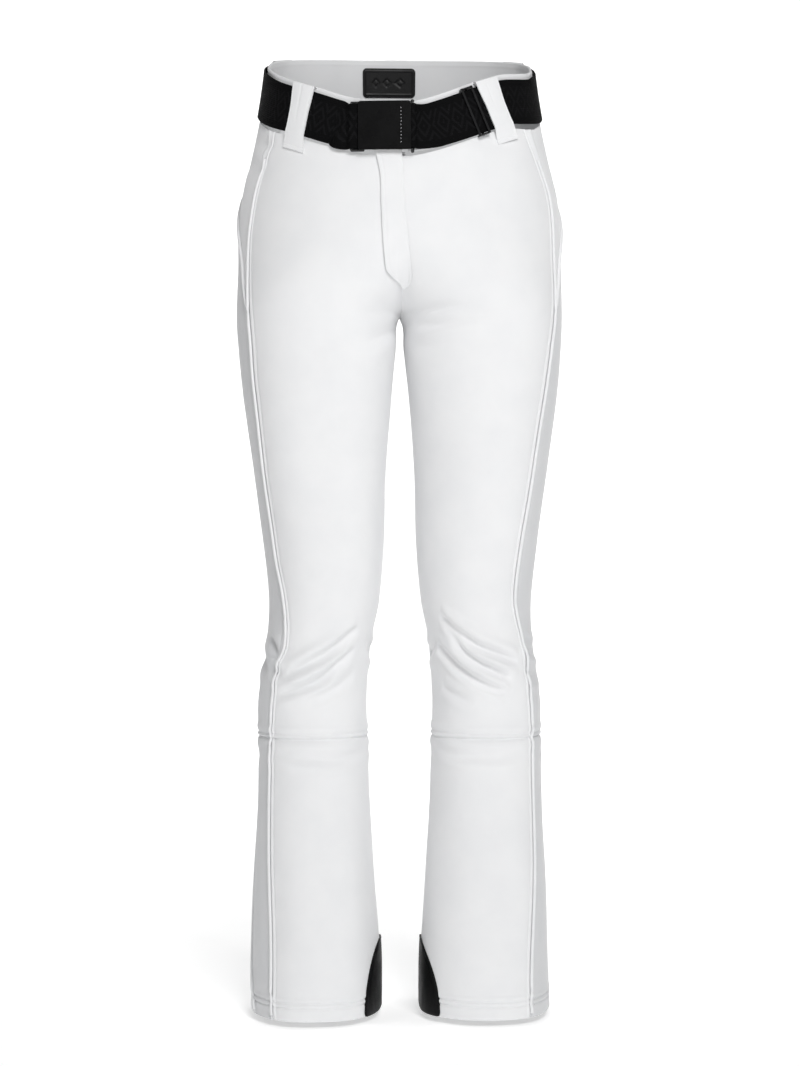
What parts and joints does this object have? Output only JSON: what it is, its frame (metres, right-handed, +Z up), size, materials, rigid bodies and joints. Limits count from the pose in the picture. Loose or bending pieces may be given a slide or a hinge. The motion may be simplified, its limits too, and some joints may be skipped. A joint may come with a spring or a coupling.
{
  "type": "ski trousers",
  "caption": "Flared softshell ski trousers with a wide elastic belt, a swinging plate buckle, piped seams and ankle scuff guards; legs bend at hip and knee.",
  "frame": {"origin": "centre of the waist opening, level with its edge at the sides", "axes": "+Z up out of the waist opening, -Y the front, +X the wearer's left"},
  "size_m": [0.372, 0.2397, 1.0834],
  "materials": {
    "softshell_white": "matt woven softshell",
    "belt_elastic": "ribbed elastic webbing",
    "buckle_gloss": "gloss lacquer",
    "black_metal": "gloss lacquer",
    "stud_black": "gloss",
    "label_black": "embossed",
    "guard_black": "coated fabric",
    "zip_metal": "white lacquer",
    "zip_plastic": "matt",
    "gaiter_rubber": "elastic strip",
    "gaiter_white": "light woven"
  },
  "bodies": {
    "seat": {"back_belt_loops": "softshell_white", "back_hip_panel_left": "softshell_white", "back_hip_panel_right": "softshell_white", "belt_end_left": "belt_elastic", "belt_end_right": "belt_elastic", "belt_webbing": "belt_elastic", "buckle_hinge_bar": "black_metal", "catch_loop": "black_metal", "fly_flap": "softshell_white", "fly_underlap": "softshell_white", "fly_zip_tape": "softshell_white", "fly_zip_teeth": "zip_plastic", "front_belt_loops": "softshell_white", "front_hip_panel_left": "softshell_white", "front_hip_panel_right": "softshell_white", "hip_piping_left": "softshell_white", "hip_piping_right": "softshell_white", "inner_label": "label_black", "pocket_hip_panel_left": "softshell_white", "pocket_hip_panel_right": "softshell_white", "side_belt_loops": "softshell_white", "side_hip_panel_left": "softshell_white", "side_hip_panel_right": "softshell_white", "waistband_back": "softshell_white", "waistband_front_left": "softshell_white", "waistband_front_right": "softshell_white"},
    "thigh_left": {"front_thigh_panel_left": "softshell_white", "side_thigh_panel_left": "softshell_white", "back_thigh_panel_left": "softshell_white", "thigh_piping_left": "softshell_white", "groin_sleeve_left": "softshell_white"},
    "shin_left": {"front_shin_panel_left": "softshell_white", "side_shin_panel_left": "softshell_white", "back_shin_panel_left": "softshell_white", "shin_piping_left": "softshell_white", "knee_sleeve_left": "softshell_white", "scuff_guard_left": "guard_black", "hem_facing_left": "softshell_white", "snow_gaiter_left": "gaiter_white", "gaiter_elastic_left": "gaiter_rubber"},
    "thigh_right": {"front_thigh_panel_right": "softshell_white", "side_thigh_panel_right": "softshell_white", "back_thigh_panel_right": "softshell_white", "thigh_piping_right": "softshell_white", "groin_sleeve_right": "softshell_white"},
    "shin_right": {"front_shin_panel_right": "softshell_white", "side_shin_panel_right": "softshell_white", "back_shin_panel_right": "softshell_white", "shin_piping_right": "softshell_white", "knee_sleeve_right": "softshell_white", "scuff_guard_right": "guard_black", "hem_facing_right": "softshell_white", "snow_gaiter_right": "gaiter_white", "gaiter_elastic_right": "gaiter_rubber"},
    "plate": {"buckle_plate": "buckle_gloss", "buckle_studs": "stud_black"},
    "adjuster": {"belt_adjuster": "black_metal"},
    "slider": {"fly_zip_slider": "zip_metal", "fly_zip_pull": "zip_metal"}
  },
  "joints": [
    {"name": "hip_left", "type": "hinge", "parent": "seat", "child": "thigh_left", "pos_m": [0, 0.004, -0.275], "axis": [1, 0, 0], "range_deg": [-45, 12], "deforming": ["groin_sleeve_left"]},
    {"name": "knee_left", "type": "hinge", "parent": "thigh_left", "child": "shin_left", "pos_m": [0, 0.004, -0.645], "axis": [1, 0, 0], "range_deg": [0, 60], "deforming": ["knee_sleeve_left"]},
    {"name": "hip_right", "type": "hinge", "parent": "seat", "child": "thigh_right", "pos_m": [0, 0.004, -0.275], "axis": [1, 0, 0], "range_deg": [-45, 12], "deforming": ["groin_sleeve_right"]},
    {"name": "knee_right", "type": "hinge", "parent": "thigh_right", "child": "shin_right", "pos_m": [0, 0.004, -0.645], "axis": [1, 0, 0], "range_deg": [0, 60], "deforming": ["knee_sleeve_right"]},
    {"name": "buckle_swing", "type": "hinge", "parent": "seat", "child": "plate", "pos_m": [0.00892, -0.10583, -0.08274], "axis": [0, 0.1149, 0.9934], "range_deg": [0, 100]},
    {"name": "adjuster_slide", "type": "slide", "parent": "seat", "child": "adjuster", "axis": [-0.8829, -0.2976, -0.3632], "range_m": [-0.004, 0.004]},
    {"name": "fly_zip", "type": "slide", "parent": "seat", "child": "slider", "axis": [0, -0.0133, 0.9999], "range_m": [-0.052, 0]}
  ]
}
